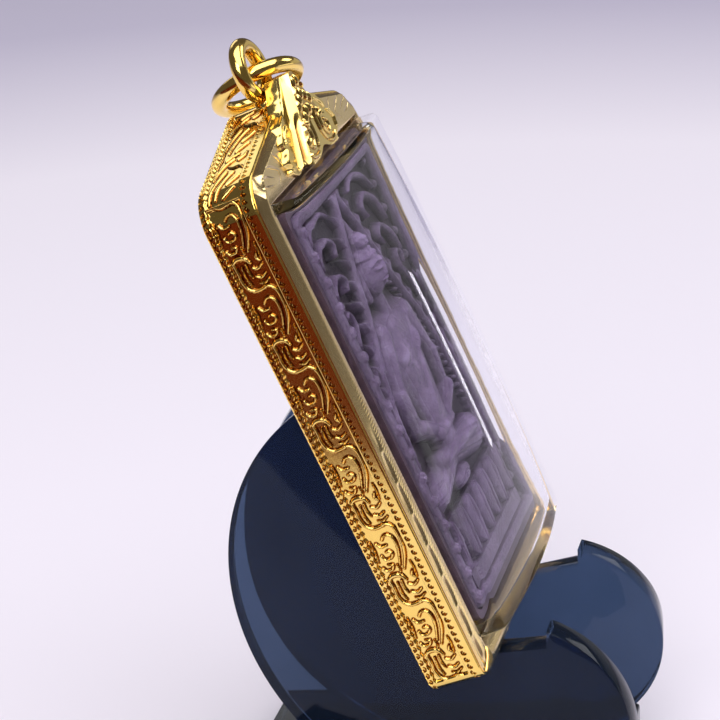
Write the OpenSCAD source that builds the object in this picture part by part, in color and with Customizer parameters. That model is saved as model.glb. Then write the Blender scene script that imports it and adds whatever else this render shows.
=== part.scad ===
// A rectangular gold amulet case with a gabled head, a domed clear cover, a pressed tablet
// and a loose ring, leaning back on a stand of two smoked acrylic plates.
// Millimetres. +Z is up, the case faces -Y, and the origin is under the middle on the floor.
// Inside the case's own frame x runs across it, z up along it, and "height" forward of the
// band's front edge.

/* [Case] */
// Width of the case across the two side bands
case_w = 28.5; // [24:0.5:34]
// Height of the straight side bands, from the foot to the shoulders
side_h = 46; // [40:0.5:54]
// Rise of the gable's apex above the shoulders
gable_rise = 3.7; // [2:0.1:6]
// Depth of the band, from its front edge to the back
band_d = 5; // [4.6:0.1:5.4]
// Rise of the bezel from the band's front edge to the cover
bezel_rise = 0.7; // [0.4:0.1:1]
// Width of the bezel at the sides
bezel_side = 1.75; // [1.5:0.05:2.2]
// Width of the bezel above the foot
bezel_foot = 2.6; // [2.2:0.1:3.2]
// Gap from the cover up to the shoulders' level
bezel_top = 2.3; // [2:0.1:3]
// Thickness of the plain back wall
back_wall = 1.2; // [1:0.1:1.4]

/* [Scrollwork] */
// Depth of the sunk panel on each band
panel_depth = 0.3; // [0.2:0.05:0.4]
// Width of the raised border along each edge of a band
border_w = 0.75; // [0.6:0.05:0.9]
// Length of one repeat of the scroll
scroll_pitch = 6.4; // [6:0.1:8]
// Width of a raised stroke
stroke_w = 0.26; // [0.2:0.02:0.32]

/* [Cover] */
// Thickness of the clear cover
cover_wall = 1; // [0.8:0.1:1.2]
// Height of the cover's long edges
cover_edge = 2.9; // [2.4:0.1:3.6]
// Rise of the dome above those edges
cover_crown = 2; // [1:0.1:3]
// Drop of the dome from its middle to its ends
cover_end_drop = 0.5; // [0.3:0.1:1]

/* [Amulet] */
// Width of the tablet
tablet_w = 21.4; // [16:0.2:22]
// Height of the sunk ground behind the figure
ground_h = 0.3; // [0.2:0.1:0.8]
// Height of the tablet's raised rim
rim_h = 1.1; // [0.9:0.1:1.4]

/* [Rings] */
// Wire of the fixed eye ring
eye_wire = 1.4; // [1.2:0.05:1.5]
// Radius of the eye ring to the middle of its wire
eye_r = 2.2; // [2.16:0.02:2.3]
// Wire of the loose ring
loose_wire = 1.4; // [1.2:0.05:1.5]
// Radius of the loose ring to the middle of its wire
loose_r = 3.6; // [3.56:0.02:3.64]

/* [Stand] */
// Angle that the case leans back from upright
lean = 23; // [18:1:28]
// Thickness of the two side plates
plate_t = 2.5; // [2:0.1:3]
// Distance between the two side plates at the middle of the stand
plate_gap = 9.6; // [9:0.2:12]
// Angle that each plate turns in towards the back
plate_toe = 7.5; // [5:0.5:9]
// Thickness of the base
base_t = 3; // [2:0.1:4]
// Radius of the large lobe behind the case
back_lobe_r = 21.2; // [20:0.2:23]
// Radius of the small lobe in front of the case
front_lobe_r = 9.75; // [9:0.05:10]

/* [Hidden] */
$fn = 64;
FIT = 0.1;
EPS = 0.01;
BEYOND = 60;

half_w = case_w / 2;
apex = side_h + gable_rise;
shoulder_r = 3.4;
foot_r = 1.2;

// Opening of the bezel, which holds the cover, and the pocket behind it
cover_half = half_w - bezel_side;
cover_low = bezel_foot;
cover_high = side_h - bezel_top;
cover_seat = -1.2;
pocket_floor = back_wall - band_d;
cover_corner_r = 0.9;
tablet_low = cover_low + cover_wall + 1;
tablet_high = cover_high - cover_wall - 1;

// Place of the eye ring, forward of the middle of the band's depth
eye_height = -1.3;
eye_z = apex + eye_r + eye_wire / 2 - 0.1;

// Place of the loose ring, which has fallen over onto the right slope of the gable: across, up
// and height, then the tilt of its axis from upright and the way that it tilts
loose_at = [3.2, apex + 0.92, -2.74];
loose_tilt = 26;
loose_turn = 26.5;
ring_axis_y = cos(lean) * sin(loose_turn) * sin(loose_tilt) + sin(lean) * cos(loose_tilt);
ring_back = loose_at.y * sin(lean) - loose_at.z * cos(lean) + loose_wire / 2
    + loose_r * sqrt(1 - ring_axis_y * ring_axis_y);

// The seat of the stand, in its own frame: y back from the foot's front edge, z above the floor
foot_z = 20;
seat_z = foot_z - band_d * sin(lean) - FIT;
seat_tilt = 15;
step_y = -4.1;
back_lobe = [4.33, foot_z + 3];
front_lobe = [-2.07, foot_z - 7.7];
base_back = 25;
base_front = -9;
base_w = 23.8;
mid_y = (max(ring_back, back_lobe.x + back_lobe_r) + front_lobe.x - front_lobe_r) / 2;

// Outlines

function unit(v) = v / norm(v);

// Points of the arc that rounds corner b, between its neighbours a and c, with radius r
function corner_arc(a, b, c, r, steps = 5) =
    let (to_a = unit(a - b), to_c = unit(c - b), half = acos(to_a * to_c) / 2)
    let (middle = b + unit(to_a + to_c) * r / sin(half), from = b + to_a * r / tan(half) - middle)
    let (start = atan2(from.y, from.x), sweep = 180 - 2 * half)
    [for (i = [0:steps]) middle + r * [cos(start + sweep * i / steps), sin(start + sweep * i / steps)]];

// A closed outline, anticlockwise, with every corner [x, y, r] rounded
function rounded(corners) =
    let (n = len(corners), at = [for (c = corners) [c.x, c.y]])
    [for (i = [0:n - 1]) each corner_arc(at[(i + n - 1) % n], at[i], at[(i + 1) % n], corners[i].z)];

// A stroke along an arc, as the outline of a bent bar that narrows to its far end
function stroke(centre, r, from, to, w0, w1, steps = 7) =
    let (angle = function(i) from + (to - from) * i / steps, w = function(i) w0 + (w1 - w0) * i / steps)
    let (point = function(i, side) centre + (r + side * w(i) / 2) * [cos(angle(i)), sin(angle(i))])
    concat([for (i = [0:steps]) point(i, 1)], [for (i = [steps:-1:0]) point(i, -1)]);

module case_outline(inset = 0) {
    slope = atan2(gable_rise, half_w);
    low_x = half_w - inset;
    polygon(rounded([[-low_x, inset, foot_r], [low_x, inset, foot_r],
                     [low_x, side_h - inset * tan(45 - slope / 2), shoulder_r],
                     [0, apex - inset / cos(slope), shoulder_r],
                     [-low_x, side_h - inset * tan(45 - slope / 2), shoulder_r]]));
}

module box_outline(half, low, high, r) {
    polygon(rounded([[-half, low, r], [half, low, r], [half, high, r], [-half, high, r]]));
}

// Extrudes an outline drawn on the case's face, from one height to another
module layer(from, to) {
    rotate([90, 0, 0])
        translate([0, 0, from])
            linear_extrude(to - from)
                children();
}

// Sets a part of the case, made upright, into the stand's seat
module leaning() {
    translate([0, -mid_y, foot_z])
        rotate([-lean, 0, 0])
            children();
}

// Bands

band_corners = [[-half_w, 0], [half_w, 0], [half_w, side_h], [0, apex], [-half_w, side_h]];

// Puts a strip drawn along +X, with +Y to the front and +Z outward, on each side of the case
module on_bands() {
    for (i = [0:len(band_corners) - 1]) {
        from = band_corners[i];
        along = band_corners[(i + 1) % len(band_corners)] - from;
        translate([from.x, 0, from.y])
            rotate([0, -atan2(along.y, along.x), 0])
                rotate([180, 0, 0])
                    children($band = norm(along));
    }
}

panel_end = 2.8;
panel_w = band_d - 2 * border_w;

// The sunk panel that is cut into a band
module panel_cut(length) {
    translate([panel_end, border_w - band_d, -panel_depth])
        cube([length - 2 * panel_end, panel_w, 1]);
}

// One repeat of the scroll: the stem's arc and the nested curls that fill its bend
module scroll_unit(up) {
    bend = panel_w / 2 - 0.2;
    middle = [scroll_pitch / 2, up * -0.15];
    facing = up > 0 ? 0 : 180;
    polygon(stroke(middle, bend, facing, facing + 180, stroke_w, stroke_w));
    for (i = [0:2])
        polygon(stroke(middle + [0.25, -up * 0.15], 0.35 + i * 0.4, facing + 20, facing + 150,
                       stroke_w * 0.7, stroke_w * 0.45));
    polygon(stroke(middle + [scroll_pitch / 2 - 0.15, up * 0.3], 0.45, facing + 200, facing + 330,
                   stroke_w, stroke_w * 0.4));
}

module scroll(length) {
    count = floor((length - 2 * panel_end) / scroll_pitch);
    spare = (length - count * scroll_pitch) / 2;
    translate([0, -band_d / 2, -panel_depth - EPS])
        linear_extrude(panel_depth - 0.04)
            for (i = [0:count - 1])
                translate([spare + i * scroll_pitch, 0])
                    scroll_unit(i % 2 == 0 ? 1 : -1);
}

// Head of the case

leaf_low = side_h - 2;
leaf_top = apex + 1.5;
// Half of the leaf's outline: distance from the middle, and height along the case
leaf_half = [[0, leaf_low + 0.5], [4.2, leaf_low + 0.1], [6.8, leaf_low + 0.3], [7.1, leaf_low + 1.3],
             [6.2, leaf_low + 2.6], [5.6, leaf_low + 3.7], [3.4, leaf_low + 4.6], [1.5, leaf_top - 0.9],
             [0.7, leaf_top]];

module leaf_outline() {
    last = len(leaf_half) - 1;
    polygon(concat(leaf_half, [for (i = [last:-1:1]) [-leaf_half[i].x, leaf_half[i].y]]));
}

module leaf() {
    layer(-0.6, bezel_rise + 0.35)
        leaf_outline();
    hull() {
        layer(bezel_rise, bezel_rise + 0.1)
            polygon([[-5.6, leaf_low + 0.4], [5.6, leaf_low + 0.4], [0.7, leaf_top], [-0.7, leaf_top]]);
        layer(bezel_rise + 0.9, bezel_rise + 1.1)
            polygon([[-3.8, leaf_low + 0.5], [3.8, leaf_low + 0.5], [0.4, leaf_top], [-0.4, leaf_top]]);
    }
}

module ring(r, wire) {
    rotate_extrude()
        translate([r, 0])
            circle(wire / 2, $fn = 32);
}

module eye() {
    translate([0, -eye_height, eye_z])
        rotate([90, 0, 0])
            ring(eye_r, eye_wire);
    translate([0, -eye_height, apex - 1.2])
        cylinder(h = 1.5, r = 0.95);
}

module case_frame() {
    color("gold")
        leaning() {
            difference() {
                union() {
                    layer(-band_d, 0)
                        case_outline();
                    hull() {
                        layer(-EPS, 0)
                            case_outline();
                        layer(bezel_rise - EPS, bezel_rise)
                            case_outline(1.1);
                    }
                }
                on_bands()
                    panel_cut($band);
                layer(cover_seat, BEYOND)
                    box_outline(cover_half + FIT, cover_low - FIT, cover_high + FIT, cover_corner_r);
                layer(pocket_floor, BEYOND)
                    box_outline(tablet_w / 2 + FIT, tablet_low - FIT, tablet_high + FIT, cover_corner_r);
            }
            on_bands()
                scroll($band);
            leaf();
            eye();
        }
}

// Clear cover

// A solid with a barrel-shaped front: crown is its greatest height, across and along its radii
module barrel(crown, across, along) {
    sweep = 12;
    depth = 9;
    translate([0, along - crown, (cover_low + cover_high) / 2])
        rotate([-90, 0, 0])
            rotate([0, 90, 0])
                rotate([0, 0, -sweep / 2])
                    rotate_extrude(angle = sweep, $fn = 720)
                        intersection() {
                            translate([along - across, 0])
                                circle(across, $fn = 240);
                            translate([along - depth, -half_w])
                                square([depth, case_w]);
                        }
}

module cover_body(inset, floor_at) {
    crown = cover_edge + cover_crown - inset;
    across = (cover_half * cover_half + cover_crown * cover_crown) / (2 * cover_crown) - inset;
    half_long = (cover_high - cover_low) / 2;
    along = half_long * half_long / (2 * cover_end_drop) - inset;
    intersection() {
        barrel(crown, across, along);
        layer(floor_at, crown + 1)
            box_outline(cover_half - inset, cover_low + inset, cover_high - inset, cover_corner_r);
    }
}

module clear_cover() {
    color([0.8, 0.8, 0.9, 0.3])
        leaning()
            difference() {
                cover_body(0, cover_seat + FIT);
                cover_body(cover_wall, cover_seat - 1);
            }
}

// Amulet

// Places across the tablet of the figure, the arch round it and the seat below it
figure_x = -1.8;
arch_x = -1.3;
seat_x = -0.9;
seat_half = 7.8;
lotus_low = tablet_low + 3;
lotus_h = 4.6;
lap_z = lotus_low + lotus_h + 3.2;
chest_z = lap_z + 10.4;
head_z = chest_z + 7.6;
arch_w = 0.7;
// Half of the pointed arch: distance from its middle, and height along the case
arch_half = [[8.4, lap_z + 2], [7.9, lap_z + 7.1], [6.4, lap_z + 11.3], [4.2, lap_z + 15.8],
             [3, lap_z + 18.6], [1.9, lap_z + 21.4], [0.9, lap_z + 23.6], [0.4, lap_z + 24.3]];

// A rounded bar between two places on the tablet, at one height
module limb(from, to, r, height) {
    along = to - from;
    translate([from.x, -height, from.y])
        rotate([0, 90 - atan2(along.y, along.x), 0]) {
            cylinder(h = norm(along), r = r);
            sphere(r);
        }
    translate([to.x, -height, to.y])
        sphere(r);
}

// Both sides of the figure: children are drawn for the right side, and mirrored
module both_sides() {
    for (side = [0, 1])
        mirror([side, 0, 0])
            children();
}

module seated_figure() {
    // Crossed legs, each a bar from the knee to the other side's ankle
    both_sides()
        limb([6.5, lap_z - 0.6], [-0.5, lap_z + 0.4], 2, ground_h - 1);
    // Chest and shoulders, upper arms and forearms
    layer(ground_h - 0.5, ground_h + 0.7)
        polygon([[-2.4, lap_z], [2.4, lap_z], [4, chest_z + 2.4], [2.6, chest_z + 3.9], [-2.6, chest_z + 3.9],
                 [-4, chest_z + 2.4]]);
    both_sides() {
        limb([4.3, chest_z + 2.4], [5.3, chest_z - 3.3], 1, ground_h - 0.1);
        limb([5.3, chest_z - 3.3], [1.2, lap_z + 3.2], 0.85, ground_h + 0.1);
    }
    // Neck, head, topknot and its flame
    limb([0, chest_z + 3.4], [0, head_z - 1], 1, ground_h - 0.3);
    translate([0, -ground_h + 0.8, head_z])
        sphere(2.2);
    translate([0, -ground_h + 0.4, head_z + 2.3])
        sphere(1.2);
    limb([0, head_z + 3], [0, head_z + 4.6], 0.45, ground_h);
}

// The lotus seat: two rows of petals between plain steps
module lotus_seat() {
    petals = 7;
    pitch = 2 * seat_half / petals;
    layer(ground_h - 0.5, rim_h - 0.1)
        box_outline(seat_half, lotus_low, lotus_low + lotus_h, 0.3);
    layer(ground_h - 0.5, rim_h)
        box_outline(seat_half + 0.6, lotus_low - 1, lotus_low, 0.3);
    for (row = [0, 1], i = [0:petals - 1])
        translate([(i - (petals - 1) / 2) * pitch, 0, lotus_low + 1.2 + row * 2.3])
            layer(rim_h - 0.2, rim_h + 0.25)
                circle(0.85, $fn = 24);
}

module arch_outline(widen) {
    polygon(concat([for (p = arch_half) [p.x + widen, p.y + max(0, widen)]],
                   [for (i = [len(arch_half) - 1:-1:0]) [-arch_half[i].x - widen, arch_half[i].y + max(0, widen)]]));
}

// The pointed arch round the figure, with a row of beads outside it and a post below each end
module arch() {
    layer(ground_h - 0.5, ground_h + 0.45)
        difference() {
            arch_outline(arch_w / 2);
            arch_outline(-arch_w / 2);
            translate([-arch_half[0].x + arch_w, lotus_low])
                square([2 * (arch_half[0].x - arch_w), lap_z + 4 - lotus_low]);
        }
    both_sides() {
        for (i = [1:len(arch_half) - 2])
            layer(ground_h - 0.5, ground_h + 0.35)
                translate([arch_half[i].x + 0.9, arch_half[i].y + 0.5])
                    circle(0.45, $fn = 24);
        layer(ground_h - 0.5, rim_h)
            translate([arch_half[0].x - 0.8, lotus_low + lotus_h])
                square([1.3, arch_half[0].y - lotus_low - lotus_h + 0.4]);
    }
}

module amulet() {
    color([0.36, 0.33, 0.42])
        leaning() {
            difference() {
                layer(pocket_floor + FIT, rim_h)
                    box_outline(tablet_w / 2, tablet_low, tablet_high, cover_corner_r);
                layer(ground_h, BEYOND)
                    box_outline(tablet_w / 2 - 1, tablet_low + 1, tablet_high - 1, 0.3);
            }
            translate([figure_x, 0, 0])
                intersection() {
                    seated_figure();
                    layer(ground_h - 0.5, BEYOND)
                        box_outline(tablet_w / 2, tablet_low, tablet_high, cover_corner_r);
                }
            translate([arch_x, 0, 0])
                arch();
            translate([seat_x, 0, 0])
                lotus_seat();
        }
}

module jump_ring() {
    color("gold")
        leaning()
            translate([loose_at.x, -loose_at.z, loose_at.y])
                rotate([0, loose_tilt, loose_turn])
                    ring(loose_r, loose_wire);
}

// Stand

// Corners of the case's back on the seat, y back and z up, and the direction up the back
back_foot = [(band_d + FIT) * cos(lean), foot_z - (band_d + FIT) * sin(lean)];
up_back = [sin(lean), cos(lean)];

// A plate's outline, x back from the middle and y up: a large lobe behind the case's back, a
// small one in front of its foot, and what joins them below the seat
module plate_outline() {
    uncut = 1;
    difference() {
        translate([-mid_y, 0]) {
            intersection() {
                translate(back_lobe)
                    circle(back_lobe_r, $fn = 128);
                polygon([back_foot - 30 * up_back - [uncut, 0], back_foot + 40 * up_back - [uncut, 0],
                         [BEYOND, BEYOND], [BEYOND, -BEYOND]]);
            }
            translate(front_lobe)
                circle(front_lobe_r, $fn = 96);
            translate([front_lobe.x, base_t])
                square([back_lobe.x + 12 - front_lobe.x, seat_z - base_t]);
        }
        translate([-BEYOND, base_t - BEYOND])
            square([2 * BEYOND, BEYOND]);
    }
}

// The room for the case, cut straight across both plates although they toe in. The seat climbs
// from the case's back to the step in front of its foot.
module seat_cut() {
    corner_y = band_d * cos(lean);
    step_z = seat_z + (corner_y - step_y) * tan(seat_tilt);
    translate([-BEYOND, -mid_y, 0])
        rotate([90, 0, 90])
            linear_extrude(2 * BEYOND)
                polygon([[step_y, step_z], [corner_y, seat_z], [back_foot.x + FIT, seat_z], back_foot,
                         back_foot + 40 * up_back, [step_y, BEYOND]]);
}

module stand_plate(side) {
    color([0.12, 0.13, 0.2, 0.85])
        difference() {
            translate([side * (plate_gap + plate_t) / 2, 0, 0])
                rotate([0, 0, side * plate_toe])
                    translate([-plate_t / 2, 0, 0])
                        rotate([90, 0, 90])
                            linear_extrude(plate_t)
                                plate_outline();
            seat_cut();
        }
}

module stand_plate_left() {
    stand_plate(-1);
}

module stand_plate_right() {
    stand_plate(1);
}

module stand_base() {
    color([0.1, 0.1, 0.16, 0.9])
        translate([-base_w / 2, base_front - mid_y, 0])
            cube([base_w, base_back - base_front, base_t]);
}

case_frame();
clear_cover();
amulet();
jump_ring();
stand_plate_left();
stand_plate_right();
stand_base();
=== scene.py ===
"""Dressed model of a gold amulet case with its tablet, clear cover, rings and acrylic stand."""

import math

import bmesh
import bpy
import numpy as np
from mathutils import Matrix, Vector


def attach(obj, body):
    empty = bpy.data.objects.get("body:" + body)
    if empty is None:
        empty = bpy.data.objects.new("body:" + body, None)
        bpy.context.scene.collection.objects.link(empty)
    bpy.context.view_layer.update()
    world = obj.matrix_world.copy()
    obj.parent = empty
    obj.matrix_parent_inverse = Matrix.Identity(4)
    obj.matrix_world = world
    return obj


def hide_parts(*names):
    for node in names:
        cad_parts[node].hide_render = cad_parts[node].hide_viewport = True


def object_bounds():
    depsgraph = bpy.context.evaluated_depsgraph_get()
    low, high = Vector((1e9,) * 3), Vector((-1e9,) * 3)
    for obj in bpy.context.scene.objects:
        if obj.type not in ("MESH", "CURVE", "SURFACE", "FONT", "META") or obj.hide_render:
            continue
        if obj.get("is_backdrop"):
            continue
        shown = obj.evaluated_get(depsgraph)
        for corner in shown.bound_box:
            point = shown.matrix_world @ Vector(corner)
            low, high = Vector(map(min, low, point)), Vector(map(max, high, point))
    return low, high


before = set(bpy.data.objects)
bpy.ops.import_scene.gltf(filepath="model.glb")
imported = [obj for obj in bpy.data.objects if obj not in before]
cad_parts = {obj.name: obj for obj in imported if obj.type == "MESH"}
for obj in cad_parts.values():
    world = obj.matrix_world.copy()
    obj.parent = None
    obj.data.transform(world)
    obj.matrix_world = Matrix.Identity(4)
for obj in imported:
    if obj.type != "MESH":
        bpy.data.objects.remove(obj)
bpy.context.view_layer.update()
ops = bmesh.ops

# Sizes in millimetres, in the case's own frame: x across, z up along the case, and height
# forward of the band's front edge, which is -y.
CASE_W = 28.5
SIDE_H = 46
GABLE_RISE = 3.7
BAND_D = 5
BEZEL_RISE = 0.7
COVER_HALF = 12.5
COVER_LOW = 2.6
COVER_HIGH = 43.7
OPENING_R = 0.9
LEAN = 23
FOOT_Z = 20
MID_Y = 7.1155
HALF_W = CASE_W / 2
APEX = SIDE_H + GABLE_RISE
SLOPE = math.atan2(GABLE_RISE, HALF_W)

MM = 0.001
TINY = 1e-6
QUARTER_TURN = math.pi / 2
ON_FLOOR = Matrix.Scale(MM, 4) @ Matrix.Translation((0, -MID_Y, 0))
IN_SEAT = (Matrix.Scale(MM, 4) @ Matrix.Translation((0, -MID_Y, FOOT_Z))
           @ Matrix.Rotation(-math.radians(LEAN), 4, "X"))


# Materials

def set_inputs(node, values):
    """Sets a node's inputs: a socket is joined to its input, anything else is its value."""
    for key, value in values.items():
        if isinstance(value, bpy.types.NodeSocket):
            node.id_data.links.new(value, node.inputs[key])
        else:
            node.inputs[key].default_value = value


def new_node(nodes, kind, values):
    node = nodes.new("ShaderNode" + kind)
    set_inputs(node, values)
    return node


def new_material(name):
    material = bpy.data.materials.new(name)
    material.use_nodes = True
    nodes = material.node_tree.nodes
    nodes.clear()
    shader = nodes.new("ShaderNodeBsdfPrincipled")
    new_node(nodes, "OutputMaterial", {"Surface": shader.outputs["BSDF"]})
    return material, nodes, shader


def case_coordinates(nodes):
    """Object coordinates turned back into the case's own frame, in millimetres."""
    coordinates = nodes.new("ShaderNodeTexCoord")
    return new_node(nodes, "Mapping", {
        "Vector": coordinates.outputs["Object"], "Location": IN_SEAT.inverted().translation,
        "Rotation": (math.radians(LEAN), 0, 0), "Scale": (1 / MM,) * 3}).outputs["Vector"]


def noise(nodes, vector, scale, detail=3, roughness=0.55):
    return new_node(nodes, "TexNoise", {"Vector": vector, "Scale": scale, "Detail": detail,
                                        "Roughness": roughness}).outputs["Fac"]


def ramp(nodes, factor, stops):
    node = new_node(nodes, "ValToRGB", {"Fac": factor})
    elements = node.color_ramp.elements
    while len(elements) < len(stops):
        elements.new(0.5)
    for element, (position, colour) in zip(elements, stops):
        element.position = position
        element.color = (*colour, 1)
    return node.outputs["Color"]


def cloud(nodes, vector, scale, first, second, detail=3):
    """A colour that drifts between two."""
    return ramp(nodes, noise(nodes, vector, scale, detail), [(0.3, first), (0.7, second)])


def remap(nodes, value, low, high, to_low, to_high):
    return new_node(nodes, "MapRange", {"Value": value, "From Min": low, "From Max": high,
                                        "To Min": to_low, "To Max": to_high}).outputs["Result"]


def bump(nodes, height, strength, distance):
    return new_node(nodes, "Bump", {"Height": height, "Strength": strength,
                                    "Distance": distance * MM}).outputs["Normal"]


def relief_level(nodes):
    """The piece's own attribute, turned into painted shade and highlight by the materials: 0 in the
    low places of its relief and where most shade is painted, 1 on the high ones.
    """
    attribute = nodes.new("ShaderNodeAttribute")
    attribute.attribute_name = "relief"
    return attribute.outputs["Fac"]


def multiplied(nodes, first, second):
    mix = nodes.new("ShaderNodeMix")
    mix.data_type = "RGBA"
    mix.blend_type = "MULTIPLY"
    set_inputs(mix, {"Factor": 1, "A": first, "B": second})
    return mix.outputs["Result"]


def gold(name, bright, deep, gloss, grain, cavity_shade=None):
    """Polished gold. Given a shade colour, the low places of a relief, as the relief attribute
    marks them, are painted browner and darker, as painted shade.
    """
    material, nodes, shader = new_material(name)
    vector = case_coordinates(nodes)
    colour = cloud(nodes, vector, 0.35, deep, bright)
    if cavity_shade:
        # Painted shade: a low relief attribute darkens the gold towards the shade colour.
        low_shade = ramp(nodes, relief_level(nodes), [(0, cavity_shade), (1, (1, 1, 1))])
        colour = multiplied(nodes, colour, low_shade)
    uneven = remap(nodes, noise(nodes, vector, 3.5, 4), 0.3, 0.7, gloss * 0.92, gloss * 1.1)
    set_inputs(shader, {"Base Color": colour, "Metallic": 1, "Roughness": uneven,
                        "Normal": bump(nodes, noise(nodes, vector, 2.5, 3), 0.5, grain)})
    return material


# Clear acrylic that lets light from lamps straight through
clear, nodes, shader = new_material("clear_acrylic")
waves = noise(nodes, case_coordinates(nodes), 0.5, 2)
set_inputs(shader, {"Base Color": (0.97, 0.97, 1, 1), "Transmission Weight": 1, "IOR": 1.06,
                    "Roughness": 0.015, "Coat Weight": 0.3, "Coat Roughness": 0.02,
                    "Normal": bump(nodes, waves, 0.25, 0.03)})
straight = nodes.new("ShaderNodeBsdfTransparent")
path = nodes.new("ShaderNodeLightPath")
mix = new_node(nodes, "MixShader", {"Fac": path.outputs["Is Shadow Ray"],
                                    1: shader.outputs["BSDF"], 2: straight.outputs["BSDF"]})
set_inputs(nodes["Material Output"], {"Surface": mix.outputs["Shader"]})

# Dark blue see-through acrylic with faint smears
smoked, nodes, shader = new_material("smoked_acrylic")
vector = case_coordinates(nodes)
tint = cloud(nodes, vector, 0.12, (0.045, 0.078, 0.15), (0.06, 0.098, 0.185), 2)
smears = remap(nodes, noise(nodes, vector, 1.2, 4), 0.3, 0.7, 0.02, 0.09)
set_inputs(shader, {"Base Color": tint, "Transmission Weight": 0.9, "IOR": 1.25,
                    "Roughness": smears})

# Grainy dark violet powder, smoother on the high places, with painted highlight on the high places
# and painted shade in the low ones
powder, nodes, shader = new_material("pressed_powder")
vector = case_coordinates(nodes)
tint = ramp(nodes, noise(nodes, vector, 0.45, 5, 0.65),
            [(0.28, (0.013, 0.007, 0.015)), (0.5, (0.022, 0.013, 0.026)),
             (0.72, (0.04, 0.026, 0.046))])
level = relief_level(nodes)
# Painted highlight on the high places and painted shade in the low places
painted_relief_light = ramp(nodes, level, [(0, (0.4, 0.36, 0.4)), (0.2, (1, 1, 1)), (0.45, (3.4, 3.6, 3.7)),
                           (1, (6.5, 7.2, 7.2))])
set_inputs(shader, {"Base Color": multiplied(nodes, tint, painted_relief_light), "Specular IOR Level": 0.55,
                    "Roughness": remap(nodes, level, 0.2, 0.9, 0.42, 0.2),
                    "Normal": bump(nodes, noise(nodes, vector, 3, 6, 0.7), 0.8, 0.35)})

lining, nodes, shader = new_material("dark_lining")
tint = cloud(nodes, case_coordinates(nodes), 0.8, (0.03, 0.016, 0.03), (0.06, 0.034, 0.055))
set_inputs(shader, {"Base Color": tint, "Roughness": 0.5})

BRIGHT = (1, 0.73, 0.22)
DEEP = (0.98, 0.66, 0.16)
# The last colour given to a gold is its painted shade for the low places of its relief.
band_gold = gold("band_gold", BRIGHT, DEEP, 0.13, 0.004, (0.3, 0.11, 0.03))
leaf_gold = gold("leaf_gold", (1, 0.76, 0.27), (0.97, 0.7, 0.2), 0.15, 0.002, (0.3, 0.11, 0.02))
bezel_gold = gold("bezel_gold", (0.97, 0.76, 0.4), (0.93, 0.7, 0.34), 0.2, 0.002,
                  (0.72, 0.5, 0.26))
wire_gold = gold("wire_gold", BRIGHT, DEEP, 0.13, 0.005)
plain_gold = gold("plain_gold", (0.97, 0.74, 0.28), (0.9, 0.62, 0.18), 0.24, 0.015)


# Making a piece

def open_edges(bm):
    return [e for e in bm.edges if e.is_boundary]


def move_made(bm, made, by):
    """Moves the vertices that an extrusion has just made."""
    verts = [v for v in made["geom"] if isinstance(v, bmesh.types.BMVert)]
    ops.translate(bm, verts=verts, vec=by)


def face_outward(bm):
    """Turns the faces of a closed shape outward."""
    ops.recalc_face_normals(bm, faces=bm.faces)
    if bm.calc_volume(signed=True) < 0:
        ops.reverse_faces(bm, faces=bm.faces)


def extruded(outline, by):
    """A solid made by moving a flat outline."""
    bm = bmesh.new()
    face = bm.faces.new([bm.verts.new(point) for point in outline])
    move_made(bm, ops.extrude_face_region(bm, geom=[face]), by)
    face_outward(bm)
    return bm


def spun(bm, steps, angle, whole=True):
    """Turns an open profile round Z."""
    ops.spin(bm, geom=bm.verts[:] + bm.edges[:], cent=(0, 0, 0), axis=(0, 0, 1), steps=steps,
             angle=angle, use_merge=whole)


def new_object(name, bm, material=None):
    mesh = bpy.data.meshes.new(name)
    bm.to_mesh(mesh)
    bm.free()
    if material:
        mesh.materials.append(material)
    made = bpy.data.objects.new(name, mesh)
    bpy.context.scene.collection.objects.link(made)
    return made


def shade(piece, sharp):
    piece.data.shade_smooth()
    piece.data.set_sharp_from_angle(angle=math.radians(sharp))


def add_piece(name, bm, material, nodes=(), at=IN_SEAT, sharp=40):
    bm.transform(at)
    piece = new_object(name, bm, material)
    shade(piece, sharp)
    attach(piece, "root")
    if nodes:
        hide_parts(*nodes)
    return piece


def relief_slab(name, cells, place, height, thick, material, sharp=60,
                reach=(0, 1), nodes=(), painted_shade=None):
    """A closed slab whose face is a fine grid. place(a, b, h) gives x, height and z for a and b
    from 0 to 1 and a rise of h, and height(a, b) the rise. The back lies thick below. The relief
    attribute, a level of painted shade, comes from the shade function if one is given, or else
    is the rise's share of reach."""
    bm = bmesh.new()
    ops.create_grid(bm, x_segments=cells[0], y_segments=cells[1], size=0.5)
    move_made(bm, ops.extrude_edge_only(bm, edges=open_edges(bm)), (0, 0, -1))
    long_sides = [e for e in open_edges(bm) if abs(sum(v.co.y for v in e.verts)) > 1 - TINY]
    ops.bridge_loops(bm, edges=long_sides)
    ops.holes_fill(bm, edges=open_edges(bm), sides=0)
    bm.verts.ensure_lookup_table()
    flat = np.array([v.co for v in bm.verts])
    a, b = flat[:, 0] + 0.5, flat[:, 1] + 0.5
    is_back = flat[:, 2] < -0.5
    rise = height(a, b)
    x, forward, z = place(a, b, np.where(is_back, -thick, rise))
    # The attribute sets how much shade or highlight the material paints here.
    if painted_shade:
        level = painted_shade(a, b)
    else:
        level = np.clip((rise - reach[0]) / (reach[1] - reach[0]), 0, 1)
    layer = bm.verts.layers.float.new("relief")
    for vert, across, front, up, value in zip(bm.verts, x, forward, z, level):
        vert.co = (across, -front, up)
        vert[layer] = value
    face_outward(bm)
    return add_piece(name, bm, material, nodes, sharp=sharp)


def smooth_step(value, low, high):
    t = np.clip((value - low) / (high - low), 0, 1)
    return t * t * (3 - 2 * t)


def window(value, low_from, low_to, high_from, high_to):
    """0, then smoothly up to 1, and smoothly back to 0."""
    return smooth_step(value, low_from, low_to) * (1 - smooth_step(value, high_from, high_to))


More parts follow.
